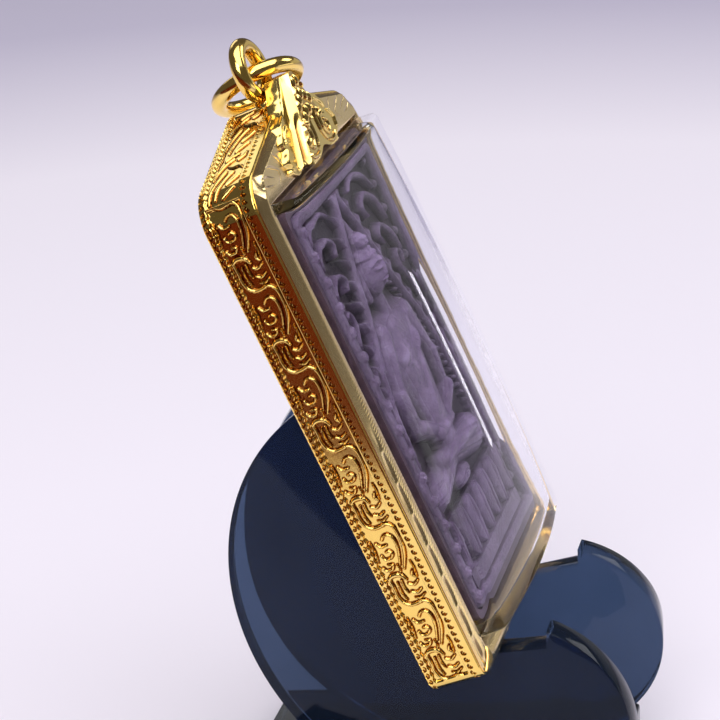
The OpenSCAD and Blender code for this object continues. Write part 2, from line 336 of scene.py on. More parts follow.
def zigzag(value, pitch):
    """1 at each multiple of the pitch, and down to 0 halfway between them."""
    return np.abs(np.mod(value / pitch, 1) - 0.5) * 2


def half_round(share):
    """A rounded profile: 1 in the middle, 0 from a share of 1 outward."""
    return np.sqrt(np.clip(1 - share ** 2, 0, 1))


def arc(centre, r, start, end, steps):
    """Places on an arc, each with the turn that it faces."""
    turns = [start + (end - start) * i / steps for i in range(steps + 1)]
    return [(centre[0] + r * math.cos(t), centre[1] + r * math.sin(t), t) for t in turns]


def distances(rows):
    steps = np.hypot(np.diff(rows[:, 0]), np.diff(rows[:, 1]))
    return np.concatenate([[0], np.cumsum(steps)])


def curve_points(points, step):
    """Points along a smooth curve through the given rows, which hold a place and a width."""
    rows = np.array(points, float)
    rows = np.vstack([2 * rows[0] - rows[1], rows, 2 * rows[-1] - rows[-2]])
    out = []
    for p0, p1, p2, p3 in zip(rows, rows[1:], rows[2:], rows[3:]):
        count = max(2, int(np.hypot(*(p2 - p1)[:2]) / step))
        for t in np.arange(count) / count:
            out.append(0.5 * (2 * p1 + (p2 - p0) * t + (2 * p0 - 5 * p1 + 4 * p2 - p3) * t * t
                              + (3 * p1 - 3 * p2 + p3 - p0) * t ** 3))
    out.append(rows[-2])
    return np.array(out)


def ridges(x, y, strokes, step=0.04):
    """Rise from 0 to 1 of rounded ridges along strokes of (x, y, half width) rows."""
    rise = np.zeros(x.shape)
    for stroke in strokes:
        for px, py, width in curve_points(stroke, step):
            near = (np.abs(x - px) < width) & (np.abs(y - py) < width)
            if near.any():
                d = ((x[near] - px) ** 2 + (y[near] - py) ** 2) / width ** 2
                rise[near] = np.maximum(rise[near], np.sqrt(np.clip(1 - d, 0, 1)))
    return rise


# The band

SHOULDER_R, FOOT_R = 3.4, 1.2
CORNER_STEPS, SHOULDER_STEPS, APEX_STEPS, EDGE_STEPS = 8, 10, 4, 4


def half_outline():
    """The left half of the outline, from the foot's middle to the apex: places with the turn
    they face, distances along it, and those of the foot's corner and the shoulder."""
    up_slope = -3 * QUARTER_TURN
    shoulder = (-HALF_W + SHOULDER_R,
                SIDE_H + SHOULDER_R * (math.tan(SLOPE) - 1 / math.cos(SLOPE)))
    rows = [(0, 0, -QUARTER_TURN)]
    rows += arc((-HALF_W + FOOT_R, FOOT_R), FOOT_R, -QUARTER_TURN, -math.pi, CORNER_STEPS)
    rows += arc(shoulder, SHOULDER_R, -math.pi, up_slope + SLOPE, SHOULDER_STEPS)
    rows += arc((0, APEX - SHOULDER_R / math.cos(SLOPE)), SHOULDER_R,
                up_slope + SLOPE, up_slope, APEX_STEPS)
    rows = np.array(rows)
    along = distances(rows)
    in_corner = 1 + CORNER_STEPS // 2
    in_shoulder = 2 + CORNER_STEPS + SHOULDER_STEPS // 2
    return rows, along, along[in_corner], along[in_shoulder]


OUTLINE, ALONG, FOOT_CORNER, SHOULDER = half_outline()
TOTAL = ALONG[-1]


def on_outline(s):
    """The place at a distance along the outline, and the direction it faces."""
    x, z, turn = (np.interp(s, ALONG, OUTLINE[:, i]) for i in range(3))
    return x, z, np.cos(turn), np.sin(turn)


def section():
    """The band's cross-section, wrapped over at both edges: places outward and forward with
    the turn they face, distances along it, and that of the back edge."""
    back_r, front_r, back_wrap, front_wrap = 0.18, 0.12, 0.7, 0.4
    rows = [(-back_wrap, -BAND_D, -QUARTER_TURN)]
    rows += arc((-back_r, -BAND_D + back_r), back_r, -QUARTER_TURN, 0, EDGE_STEPS)
    rows += arc((-front_r, -front_r), front_r, 0, QUARTER_TURN, EDGE_STEPS)
    rows.append((-front_wrap, 0, QUARTER_TURN))
    rows = np.array(rows)
    along = distances(rows)
    return rows, along, along[1 + EDGE_STEPS // 2] - back_r


SECTION, SECTION_ALONG, BACK_EDGE = section()
SECTION_LENGTH = SECTION_ALONG[-1]

# One repeat of the vine: rows of quarters of the band's depth from its back edge, distance
# along, and half width. Two leaves take turns, one open to the back and one to the front.
VINE_LENGTH = 7.2
VINE = [
    [(2.3, -0.1, 0.13), (2.67, 0.05, 0.13), (2.93, 0.5, 0.14), (3, 1.2, 0.14),
     (2.95, 2.1, 0.13), (2.75, 3, 0.12), (2.3, 4.1, 0.08)],
    [(1.72, 1.2, 0.1), (1.95, 0.9, 0.1), (2.3, 0.9, 0.11), (2.55, 1.4, 0.12),
     (2.5, 2.4, 0.11), (2.15, 3.7, 0.07)],
    [(1.2, 1.4, 0.13), (1.42, 1.72, 0.12), (1.85, 1.72, 0.09)],
    [(1.2, 2.5, 0.09), (1.35, 2.88, 0.1), (1.75, 2.88, 0.11), (2.02, 2.55, 0.1),
     (1.82, 2.22, 0.09), (1.6, 2.3, 0.08)],
    [(0.92, 3.55, 0.1), (1.1, 3.85, 0.12), (1.5, 3.85, 0.12), (1.68, 3.5, 0.1),
     (1.35, 3.4, 0.09)],
    [(1.95, 3.6, 0.06), (2, 4.1, 0.08), (1.85, 4.4, 0.06)],
    [(0.95, 4.62, 0.13), (1.3, 4.4, 0.2), (1.8, 4.5, 0.2), (2.08, 5, 0.12)],
    [(0.95, 4.6, 0.13), (1, 5.4, 0.14), (0.98, 6.2, 0.15), (1.15, 6.85, 0.15),
     (1.6, 7.25, 0.15), (2.3, 7.2, 0.14)],
    [(1.4, 5.1, 0.09), (1.36, 6, 0.09), (1.5, 6.75, 0.07)],
    [(1.72, 5, 0.08), (1.7, 5.7, 0.09), (1.82, 6.2, 0.06)],
    [(2.75, 4.4, 0.08), (2.62, 4.75, 0.13), (2.8, 5.05, 0.09)],
    [(2.1, 5.45, 0.12), (2.45, 5.6, 0.13), (2.8, 5.35, 0.08)],
    [(2.05, 6.15, 0.09), (2.4, 6.35, 0.12), (2.75, 6.15, 0.09)],
    [(2.1, 6.75, 0.07), (2.45, 6.85, 0.11), (2.85, 6.6, 0.07)],
    [(0.85, 1.1, 0.06), (0.9, 2, 0.09), (0.8, 3, 0.06)],
    [(2.9, 3.6, 0.06), (2.95, 4.2, 0.07), (2.9, 5, 0.05)],
]
# One repeat of the long leaves on the gable's slopes, in the same way
SPRAY_LENGTH = 6.7
SPRAY = [
    [(0.95, 0.2, 0.1), (1, 1.4, 0.17), (1.25, 2.8, 0.19), (1.8, 4.2, 0.08)],
    [(1.4, 0.5, 0.1), (1.55, 1.6, 0.16), (1.9, 2.9, 0.17), (2.4, 3.8, 0.07)],
    [(1.95, 0.4, 0.12), (2.3, 0.9, 0.22), (2.8, 1.3, 0.1)],
    [(2.15, 1.9, 0.1), (2.6, 2.4, 0.2), (3, 2.9, 0.08)],
    [(0.95, 3.3, 0.1), (1.1, 4.3, 0.16), (1.5, 5.3, 0.17), (2.1, 5.9, 0.07)],
    [(1.8, 4.9, 0.08), (2.2, 4.5, 0.17), (2.7, 4.5, 0.15), (3, 4, 0.07)],
    [(2.4, 5.5, 0.1), (2.75, 5.9, 0.19), (2.95, 6.5, 0.08)],
    [(1.4, 6, 0.1), (1.8, 6.4, 0.18), (2.3, 6.6, 0.1)],
    [(0.85, 5.3, 0.07), (0.9, 6, 0.13), (1.05, 6.6, 0.07)],
]
QUARTER = BAND_D / 4
TILE_STEP, TILE_FROM, TILE_TO = 0.02, 0.6, 4.2
# How much wider the strip of painted shade is than the lines
SHADE_STRIP_SCALE, SHADE_STRIP_EXTRA = 1.05, 0.09


def relief_tile(strokes, length, scale=1.0, extra=0.0):
    """The rise over one repeat, worked out once on a fine table that wraps at its ends."""
    across, along = np.meshgrid(np.arange(TILE_FROM, TILE_TO, TILE_STEP),
                                np.arange(0, length, TILE_STEP), indexing="ij")
    around = [[(p * QUARTER, q + shift * length, w * scale + extra) for p, q, w in stroke]
              for stroke in strokes for shift in (-1, 0, 1)]
    return ridges(across, along, around)


def tile_pair(strokes, length):
    """A repeat's rise, and the wider strip along its lines where shade is painted."""
    return relief_tile(strokes, length), relief_tile(strokes, length, SHADE_STRIP_SCALE, SHADE_STRIP_EXTRA)


VINE_TILES = tile_pair(VINE, VINE_LENGTH)
SPRAY_TILES = tile_pair(SPRAY, SPRAY_LENGTH)


def tile_rise(tile, t, y):
    row = np.clip(((t - TILE_FROM) / TILE_STEP).round().astype(int), 0, tile.shape[0] - 1)
    column = np.mod((y / TILE_STEP).round().astype(int), tile.shape[1])
    return tile[row, column]


PANEL_LOW, PANEL_HIGH = 0.78, 3.95
PANEL_DEPTH, SLOPE_DEPTH = 0.3, 0.19
# Stretches of the band: start, end, the plain metal at both ends of its sunk panel, the
# pattern, its repeats, the length of one, and the panel's depth
STRETCHES = (
    (0, FOOT_CORNER, 0, 0.7, VINE_TILES, 2, VINE_LENGTH, PANEL_DEPTH),
    (FOOT_CORNER, SHOULDER, 0.7, 0.12, VINE_TILES, 6, VINE_LENGTH, PANEL_DEPTH),
    (SHOULDER, TOTAL, 0.12, 0.8, SPRAY_TILES, 2, SPRAY_LENGTH, SLOPE_DEPTH),
)
HOOK_PITCH, HOOK_R, HOOK_DEPTH = 0.66, 0.19, 0.16
HOOK_BACK_ROW, HOOK_FRONT_ROW, HOOK_SHIFT = 0.42, 4.42, 0.2


def hooks(t, s, middle, facing):
    """A running row of small curled hooks: 1 where the metal is sunk."""
    local = np.mod(s, HOOK_PITCH) - HOOK_PITCH / 2
    across = (t - middle) * facing
    r = np.hypot(local, across)
    turn = np.degrees(np.arctan2(local, across))
    curl = (np.abs(r - HOOK_R) < 0.065) & (turn > -150) & (turn < 75)
    dot = np.hypot(local + 0.04, across + 0.02) < 0.075
    return (curl | dot).astype(float)


def band_parts(s, t):
    """The panel's depth over the band, the pattern's rise, and the wider strip round its lines
    where shade is painted.
    """
    inside, relief, shade_strip = (np.zeros(s.shape) for _ in range(3))
    for start, end, low_gap, high_gap, tiles, repeats, length, depth in STRETCHES:
        low, high = start + low_gap, end - high_gap
        opened = smooth_step(s, low - 0.1, low + 0.1) if low_gap else 1
        part = depth * opened * (1 - smooth_step(s, high - 0.1, high + 0.1))
        here = (s >= start) & (s <= end)
        # The vine starts at the top, the leaves start at the shoulder
        share = ((high - s) if tiles is VINE_TILES else (s - low)) / (high - low)
        inside = np.where(here, part, inside)
        relief, shade_strip = (np.where(here, tile_rise(tile, t, share * repeats * length), before)
                        for tile, before in zip(tiles, (relief, shade_strip)))
    # The panel's back edge wavers a little, as hand-set wire does
    low_edge = PANEL_LOW + 0.05 * np.sin(s * 2 * math.pi / HOOK_PITCH)
    across = window(t, low_edge, low_edge + 0.12, PANEL_HIGH - 0.06, PANEL_HIGH + 0.06)
    return inside * across, relief, shade_strip


def band_sinks(s, t):
    """The sunk places of the two rows along the band's edges."""
    back_row = hooks(t, s, HOOK_BACK_ROW, 1) * (t < PANEL_LOW)
    front_row = hooks(t, s + HOOK_SHIFT, HOOK_FRONT_ROW, -1) * (t > PANEL_HIGH + 0.1)
    return HOOK_DEPTH * (back_row + front_row)


def band_piece(side, start, end):
    """The band between two distances: its place, its rise, and the shade painted on its metal."""
    def where(a, b):
        return start + (end - start) * a, b * SECTION_LENGTH - BACK_EDGE

    def place(a, b, h):
        x, z, nx, nz = on_outline(where(a, b)[0])
        out, front, turn = (np.interp(b * SECTION_LENGTH, SECTION_ALONG, SECTION[:, i])
                            for i in range(3))
        out = out + h * np.cos(turn)
        return side * (x + nx * out), front + h * np.sin(turn), z + nz * out

    def height(a, b):
        panel, relief, _ = band_parts(*where(a, b))
        return -panel * (1 - 0.9 * relief) - band_sinks(*where(a, b))

    def painted_shade(a, b):
        panel, relief, shade_strip = band_parts(*where(a, b))
        # Painted shade: the strip round the pattern's lines, but not their tops, and the sunk hooks
        # are darker
        dark = smooth_step(shade_strip, 0.1, 0.45) * (1 - smooth_step(relief, 0.45, 0.8)) * (panel > 0.02)
        return np.clip(1 - dark - band_sinks(*where(a, b)) / 0.17, 0, 1)

    return place, height, painted_shade


BAND_SHEET = 0.45
CELLS_ACROSS = 112
# Grid cells along each stretch; the far side has fewer
for side, hand, fine in ((1, "left", 1), (-1, "right", 0.8)):
    for part, start, end, columns in (("foot", 0, FOOT_CORNER, 220),
                                      ("side", FOOT_CORNER, SHOULDER, 820),
                                      ("slope", SHOULDER, TOTAL, 240)):
        place, height, painted_shade = band_piece(side, start, end)
        relief_slab(f"band_{part}_{hand}", (int(columns * fine), int(CELLS_ACROSS * fine)),
                    place, height, BAND_SHEET, band_gold, painted_shade=painted_shade)


# The bezel and the gable's face

BEZEL_SHEET = 0.5
BEZEL_LAP, BEZEL_SINK = 0.2, 0.03
COVER_GAP = 0.06


def bezel_place(side, start, end, inner_from, inner_to):
    """Between the outline, from one distance to another, and a straight edge of the opening."""
    def place(a, b, h):
        x, z, nx, nz = on_outline(start + (end - start) * a)
        x, z = x - nx * BEZEL_LAP, z - nz * BEZEL_LAP
        inner_x = inner_from[0] + (inner_to[0] - inner_from[0]) * a
        inner_z = inner_from[1] + (inner_to[1] - inner_from[1]) * a
        return side * (x + (inner_x - x) * b), h - BEZEL_SINK, z + (inner_z - z) * b
    return place


def lens_cut(along, pitch, across, middle):
    """A row of lens-shaped cuts: 1 along their middle line."""
    lens = zigzag(along, pitch)
    return np.clip(1 - np.abs(across - middle) / (0.14 * np.clip(1 - lens ** 2, 0, 1) + TINY), 0, 1)


def side_height(a, b):
    """Rises towards the cover, with herringbone cuts beside it and lens cuts beside the band."""
    z = a * SIDE_H
    rise = BEZEL_RISE * smooth_step(b, -0.3, 0.75) - 0.1 * smooth_step(b, 0.93, 1)
    herring = zigzag(z + np.abs(b - 0.62) * 1.45, 0.34)
    cut = window(z, 2, 6, 24, 31) * window(b, 0.4, 0.46, 0.88, 0.93)
    rise -= 0.025 * cut * smooth_step(herring, 0.5, 1)
    return rise - 0.13 * lens_cut(z, 3.1, b, 0.28) * (1 - smooth_step(z, 20, 25))


def foot_height(a, b):
    """A rounded bar with slanting grain and lens cuts, a from the middle to the corner."""
    x = a * HALF_W
    rise = 0.12 + 1.0 * np.sin(math.pi * np.clip(b * 0.94 + 0.03, 0, 1)) ** 0.75
    grain = zigzag(x * 0.9 + b * 1.8, 0.3)
    rise -= 0.03 * smooth_step(grain, 0.4, 1) * window(b, 0.2, 0.35, 0.75, 0.9)
    return rise - 0.12 * lens_cut(x, 3.6, b, 0.22)


LEAF_CUTS = [
    [(-13.3, 45.4, 0.03), (-12.4, 44.9, 0.16), (-11.4, 44.7, 0.03)],
    [(-12.6, 45.9, 0.03), (-11.6, 45.6, 0.16), (-10.6, 45.2, 0.03)],
    [(-10.9, 46.4, 0.03), (-9.9, 46, 0.17), (-8.8, 45.3, 0.03)],
    [(-10.2, 44.5, 0.03), (-9.4, 44.9, 0.15), (-8.9, 45.5, 0.03)],
    [(-8.6, 46.9, 0.03), (-8, 46.3, 0.16), (-7.6, 45.4, 0.03)],
]


def gable_height(a, b):
    """a runs from the shoulder to the middle. The slope runs on from the side's at the shoulder
    and gets steeper towards the middle."""
    corner = 1 - smooth_step(a, 0, 0.16)
    rise = BEZEL_RISE * smooth_step(b, -0.02 - 0.28 * corner, 0.16 + 0.59 * corner)
    rise -= 0.1 * smooth_step(b, 0.97, 1)
    x = -HALF_W * (1 - a)
    z = SIDE_H + (HALF_W + x) * math.tan(SLOPE)
    z = z + (COVER_HIGH - z) * b
    return rise - 0.05 * ridges(x, z, LEAF_CUTS, 0.05)


inner = -COVER_HALF - COVER_GAP
low, high = COVER_LOW - COVER_GAP, COVER_HIGH + COVER_GAP
for side, hand in ((1, "left"), (-1, "right")):
    for part, cells, start, end, inner_from, inner_to, height, top in (
            ("bezel_side_", (420, 20), FOOT_CORNER, SHOULDER, (inner, low), (inner, high),
             side_height, 0.3),
            ("bezel_foot_", (130, 28), 0, FOOT_CORNER, (0, low), (inner, low), foot_height, 0.3),
            ("gable_", (170, 50), SHOULDER, TOTAL, (inner, high), (0, high), gable_height, 0.4)):
        # The rise's share of reach sets the shade painted in the bezel's low places and cuts
        relief_slab(part + hand, cells, bezel_place(side, start, end, inner_from, inner_to),
                    height, BEZEL_SHEET, bezel_gold, reach=(-0.2, top))


# The leaf on the gable

# Height along the case, and half of the leaf's width there
LEAF = np.array([(43.85, 5.9), (44.5, 6.95), (45.3, 7.1), (46, 6.5), (46.7, 6.15), (47.4, 5.9),
                 (48, 5), (48.6, 3.5), (49.4, 2.5), (50.3, 1.6), (51.2, 0.7)])
LEAF_LOW, LEAF_TOP = LEAF[0, 0], LEAF[-1, 0]
LEAF_SHEET = 0.4
# The bevel's outer half width and the facet's, at the lower end and at the top
BEVEL_LOW, BEVEL_TOP = 5.7, 0.75
FACET_LOW, FACET_TOP, FACET_RISE = 3.8, 0.4, 1.1
FLUTE_DEPTH, LINE_RISE, LINE_SHADE_STRIP = 0.34, 0.17, 0.12
DASH_ROW, DASH_PITCH, DASH_RISE = 1.3, 0.72, 0.24
FACET_SCROLLS = [
    [(3.6, 47, 0.06), (2.6, 47.3, 0.14), (1.7, 46.8, 0.17), (1.5, 45.8, 0.17),
     (2, 45, 0.15), (2.7, 45.2, 0.12), (2.8, 45.9, 0.1), (2.3, 46.2, 0.08)],
    [(2.2, 45.7, 0.12), (2.35, 45.5, 0.12)],
    [(0.9, 47.6, 0.05), (0.75, 46.6, 0.13), (0.8, 45.6, 0.13), (1.2, 44.7, 0.06)],
    [(1.6, 44.4, 0.06), (2.4, 44.25, 0.13), (3.3, 44.5, 0.12), (3.6, 45.2, 0.07)],
    [(3.3, 45.6, 0.05), (3.2, 46.2, 0.11), (2.9, 46.7, 0.06)],
]
SIDE_SCROLLS = [
    [(6.4, 44.6, 0.1), (6.6, 45.4, 0.18), (5.9, 46.2, 0.1)],
    [(5.5, 46.6, 0.08), (5, 47.3, 0.16), (4.1, 47.8, 0.08)],
]


def leaf_place(a, b, h):
    z = LEAF_LOW + (LEAF_TOP - LEAF_LOW) * b
    scallop = 1 + 0.03 * np.sin(b * 34)
    x = (a * 2 - 1) * np.interp(z, LEAF[:, 0], LEAF[:, 1]) * scallop
    # The lower edge is notched in the middle and beside the front facet
    ax = np.abs(x)
    notch = 0.6 * np.exp(-(ax / 1.2) ** 2) + 0.4 * np.exp(-((ax - 4.5) / 0.55) ** 2)
    return x, h, z + notch * (1 - b) ** 3


def leaf_form(a, b):
    """The leaf's rise, and the shade painted on its metal."""
    x, _, z = leaf_place(a, b, 0)
    ax = np.abs(x)
    share = np.clip((z - LEAF_LOW) / (LEAF_TOP - LEAF_LOW), 0, 1)
    wide = BEVEL_LOW + (BEVEL_TOP - BEVEL_LOW) * share
    face = FACET_LOW + (FACET_TOP - FACET_LOW) * share
    bevel = np.clip((wide - ax) / (wide - face), 0, 1)
    brim = 0.32 * smooth_step(1 - np.abs(a * 2 - 1), 0, 0.05)
    rise = BEZEL_RISE + np.maximum(brim, FACET_RISE * bevel)
    # Two long flutes down each bevel
    flutes = np.sin(2 * math.pi * bevel) ** 2 * window(share, 0.03, 0.12, 0.42, 0.6)
    flutes = flutes * (bevel > 0) * (bevel < 1)
    rise -= FLUTE_DEPTH * flutes
    # Rows of short raised dashes on the facet, each row a chevron, over the scrolls
    facet = smooth_step(bevel, 0.97, 1)
    drop = LEAF_TOP - (z + 0.55 * ax)
    row = np.floor(drop / DASH_ROW)
    along = zigzag(drop, DASH_ROW) * DASH_ROW / 2
    column = zigzag(ax / DASH_PITCH + 0.5 * np.mod(row, 2), 1) * DASH_PITCH / 2
    dash = np.clip(1 - (along / 0.52) ** 2 - (column / 0.17) ** 2, 0, 1)
    dashed = z > 46.9 - 0.15 * ax
    rise += facet * DASH_RISE * np.sqrt(dash) * dashed
    lines = facet * ridges(ax, z, FACET_SCROLLS, 0.05) + ridges(ax, z, SIDE_SCROLLS, 0.05)
    wider = [[(p, q, w + LINE_SHADE_STRIP) for p, q, w in stroke] for stroke in FACET_SCROLLS]
    shade_strip = smooth_step(facet * ridges(ax, z, wider, 0.05), 0.05, 0.3)
    # Painted shade: the flutes, the strip round the scroll lines and the facet between the dashes
    # are darker
    dark = np.maximum(0.9 * flutes, 0.7 * shade_strip * (lines < 0.4))
    dark = np.maximum(dark, 0.4 * facet * dashed * (dash < 0.02))
    return rise + LINE_RISE * lines, 1 - dark


relief_slab("gable_leaf", (230, 150), leaf_place, lambda a, b: leaf_form(a, b)[0], LEAF_SHEET,
            leaf_gold, painted_shade=lambda a, b: leaf_form(a, b)[1])


# The core behind the sheets: back plate, walls and the ledge that the cover stands on

def outline_loop(inset):
    """The whole outline moved inward, as places x and z, anticlockwise."""
    x, z, nx, nz = on_outline(ALONG[1:])
    left = [(px - n * inset, pz - m * inset) for px, pz, n, m in zip(x, z, nx, nz)]
    right = [(-px, pz) for px, pz in reversed(left[:-1])]
    return left + right


def prism(points, low, high):
    return extruded([(x, -low, z) for x, z in points], (0, low - high, 0))


def rounded_rectangle(half, low, high, r, side_steps=(1, 1), corner_steps=6):
    """Anticlockwise points x, z of a rectangle with rounded corners, its sides cut into steps."""
    centres = ((half - r, low + r), (half - r, high - r), (-half + r, high - r),
               (-half + r, low + r))
    corners = [[row[:2] for row in arc(centre, r, (i - 1) * QUARTER_TURN, i * QUARTER_TURN,
                                       corner_steps)] for i, centre in enumerate(centres)]
    points = []
    for i, corner in enumerate(corners):
        points += corner
        (x, z), (end_x, end_z) = corner[-1], corners[(i + 1) % 4][0]
        steps = side_steps[i % 2]
        points += [(x + (end_x - x) * k / steps, z + (end_z - z) * k / steps)
                   for k in range(1, steps)]
    return points


def loops_bridged(loops, closed_ends=True):
    """Bridges closed loops of the same number of points, each point x, height and z."""
    bm = bmesh.new()
    rings = []
    for loop in loops:
        verts = [bm.verts.new((x, -front, z)) for x, front, z in loop]
        rings.append([bm.edges.new((v, verts[(i + 1) % len(verts)])) for i, v in enumerate(verts)])
    for first, second in zip(rings, rings[1:]):
        ops.bridge_loops(bm, edges=first + second)
    if closed_ends:
        ops.holes_fill(bm, edges=open_edges(bm), sides=0)
    face_outward(bm)
    return bm


def cut_away(piece, bm):
    bm.transform(IN_SEAT)
    cutter = new_object("cutter", bm)
    modifier = piece.modifiers.new("cut", "BOOLEAN")
    modifier.operation = "DIFFERENCE"
    modifier.solver = "EXACT"
    modifier.object = cutter
    depsgraph = bpy.context.evaluated_depsgraph_get()
    depsgraph.update()
    cut = bpy.data.meshes.new_from_object(piece.evaluated_get(depsgraph))
    piece.modifiers.clear()
    piece.data = cut
    bpy.data.objects.remove(cutter)


POCKET_HALF, POCKET_LOW, POCKET_HIGH, POCKET_FLOOR = 10.8, 4.5, 41.8, -3.2
LEDGE, LEDGE_GAP = -1.2, 0.1
CORE_INSET, CORE_FRONT, PAST_FRONT = 0.4, 0.2, 3

core = add_piece("case_core", prism(outline_loop(CORE_INSET), -BAND_D + 0.1, CORE_FRONT),
                 plain_gold, ("case_frame",), sharp=30)
cut_away(core, prism(rounded_rectangle(COVER_HALF + LEDGE_GAP, COVER_LOW - LEDGE_GAP,
                                       COVER_HIGH + LEDGE_GAP, OPENING_R), LEDGE, PAST_FRONT))
cut_away(core, prism(rounded_rectangle(POCKET_HALF, POCKET_LOW, POCKET_HIGH, OPENING_R),
                     POCKET_FLOOR, PAST_FRONT))


# Rings

def set_at(bm, at, *turns):
    """Turns a new shape about its own middle and moves it to its place."""
    for turn in turns:
        ops.rotate(bm, verts=bm.verts, cent=(0, 0, 0), matrix=turn)
    ops.translate(bm, verts=bm.verts, vec=at)
    return bm


def turn_about(axis, degrees):
    return Matrix.Rotation(math.radians(degrees), 3, axis)


def ring(r, wire, gap=0.0, sides=24, steps=96):
    """A wire ring round Z. With a gap, in degrees, it is cut through there."""
    bm = bmesh.new()
    circle = ops.create_circle(bm, segments=sides, radius=wire / 2)["verts"]
    ops.rotate(bm, verts=circle, cent=(0, 0, 0), matrix=turn_about("X", 90))
    ops.translate(bm, verts=circle, vec=(r, 0, 0))
    spun(bm, steps, math.radians(360 - gap), gap == 0)
    if gap:
        ops.holes_fill(bm, edges=open_edges(bm), sides=0)
    face_outward(bm)
    return bm


def lathe(profile, steps):
    """A shape turned round Z from its closed profile of radius and height."""
    bm = bmesh.new()
    verts = [bm.verts.new((r, 0, z)) for r, z in profile]
    for ends in zip(verts, verts[1:]):
        bm.edges.new(ends)
    spun(bm, steps, 2 * math.pi)
    ops.remove_doubles(bm, verts=bm.verts, dist=0.001)
    face_outward(bm)
    return bm


EYE_R, EYE_WIRE, EYE_HEIGHT = 2.2, 1.4, -1.3
EYE_Z = APEX + EYE_R + EYE_WIRE / 2 - 0.1
LOOSE_R, LOOSE_WIRE, LOOSE_SEAM = 3.6, 1.4, 1.2
LOOSE_AT = (3.2, 2.74, APEX + 0.92)
LOOSE_TILT, LOOSE_TURN, SEAM_TURN = 26, 26.5, -68
COLLAR = [(0, 0.45), (0.55, 0.45), (0.78, 0.36), (0.9, 0.12), (0.95, -0.2), (1.05, -0.5),
          (1.05, -1.2), (0, -1.2)]
SOCKET = [(0, -0.5), (0.5, -0.5), (0.52, 0.1), (0.46, 0.2), (0.38, 0.22), (0.33, 0.14),
          (0.3, -0.3), (0, -0.36)]
SOCKET_AT, SOCKET_FACES = (-0.8, 1.45, APEX + 0.02), Vector((-0.86, -0.3, 0.42))

eye = set_at(ring(EYE_R, EYE_WIRE), (0, -EYE_HEIGHT, EYE_Z), turn_about("X", 90))
add_piece("eye_ring", eye, wire_gold)
add_piece("eye_collar", set_at(lathe(COLLAR, 40), (0, -EYE_HEIGHT, APEX)), wire_gold)
socket = set_at(lathe(SOCKET, 32), SOCKET_AT, SOCKET_FACES.to_track_quat("Z", "Y").to_matrix())
add_piece("eye_socket", socket, wire_gold)
hang = turn_about("Z", LOOSE_TURN) @ turn_about("Y", LOOSE_TILT)
loose = set_at(ring(LOOSE_R, LOOSE_WIRE, LOOSE_SEAM), LOOSE_AT, turn_about("Z", SEAM_TURN), hang)
add_piece("loose_ring", loose, wire_gold, ("jump_ring",))


# Clear cover

COVER_EDGE, COVER_CROWN, COVER_WALL = 2.9, 2, 1.0
END_CROWN, EDGE_DROP = 1, 0.3
COVER_SEAT, COVER_SHARP = -1.1, 40
DRAFT, DRAFT_FROM, RIM_R, RIM_STEPS = 0.25, 0.8, 0.4, 5
SIDE_CELLS = (40, 26)


def dome(x, z):
    middle = (COVER_LOW + COVER_HIGH) / 2
    along = abs(z - middle) / ((COVER_HIGH - COVER_LOW) / 2)
    crown = COVER_CROWN - (COVER_CROWN - END_CROWN) * along ** 3
    return COVER_EDGE + crown * (1 - (x / COVER_HALF) ** 2) - EDGE_DROP * along ** 2


def cover_skin(inset, floor):
    """One skin of the cover, from its foot up over the rounded rim to the middle."""
    def loop(offset, front=None, drop=0):
        points = rounded_rectangle(COVER_HALF - offset, COVER_LOW + offset, COVER_HIGH - offset,
                                   max(0.12, OPENING_R - offset), SIDE_CELLS)
        return [(x, dome(x, z) - inset - drop if front is None else front, z) for x, z in points]

    loops = [loop(inset, floor), loop(inset + DRAFT * 0.5, DRAFT_FROM)]
    for k in range(RIM_STEPS + 1):
        turn = QUARTER_TURN * k / RIM_STEPS
        loops.append(loop(inset + DRAFT + RIM_R * (1 - math.cos(turn)),
                          drop=RIM_R * (1 - math.sin(turn))))
    start = inset + DRAFT + RIM_R
    for share in (0.06, 0.14, 0.24, 0.36, 0.5, 0.64, 0.78, 0.9, 0.99):
        loops.append(loop(start + (COVER_HALF - start) * share))
    return loops_bridged(loops)


cover = add_piece("clear_dome", cover_skin(0, COVER_SEAT), clear,
                  ("clear_cover",), sharp=COVER_SHARP)
cut_away(cover, cover_skin(COVER_WALL, COVER_SEAT - 0.5))
shade(cover, COVER_SHARP)


# Tablet

TABLET_HALF, TABLET_LOW, TABLET_HIGH, TABLET_THICK = 10.7, 4.6, 41.7, 3.1
TABLET_MID, TABLET_HALF_H = (TABLET_LOW + TABLET_HIGH) / 2, (TABLET_HIGH - TABLET_LOW) / 2
GROUND, RIM, RIM_W, RIM_FOOT = 0.3, 1.1, 1, 0.7
FIGURE_X, ARCH_X, SEAT_X = -1.8, -1.3, -0.9
FIGURE_SCALE = 1.25
LOTUS_LOW, LOTUS_H = 7.6, 4.6
PETAL_PITCH, PETALS_HALF = 2.6, 8.1
LAP_Z, HEAD_Z = 15.4, 33.4
BORDER_PITCH, BEADS_FROM = 2.3, 8.5


def capsule(x, z, start, end, r0, r1, sunk=0.0):
    """Rise of a rounded bar whose middle line lies sunk below the ground, or stands above it
    where sunk is negative."""
    (x0, z0), (x1, z1) = start, end
    length2 = (x1 - x0) ** 2 + (z1 - z0) ** 2
    t = np.clip(((x - x0) * (x1 - x0) + (z - z0) * (z1 - z0)) / length2, 0, 1)
    d2 = (x - x0 - t * (x1 - x0)) ** 2 + (z - z0 - t * (z1 - z0)) ** 2
    depth = (r0 + (r1 - r0) * t) ** 2 - d2
    return np.where(depth > 0, np.sqrt(np.clip(depth, 0, None)) - sunk, 0)


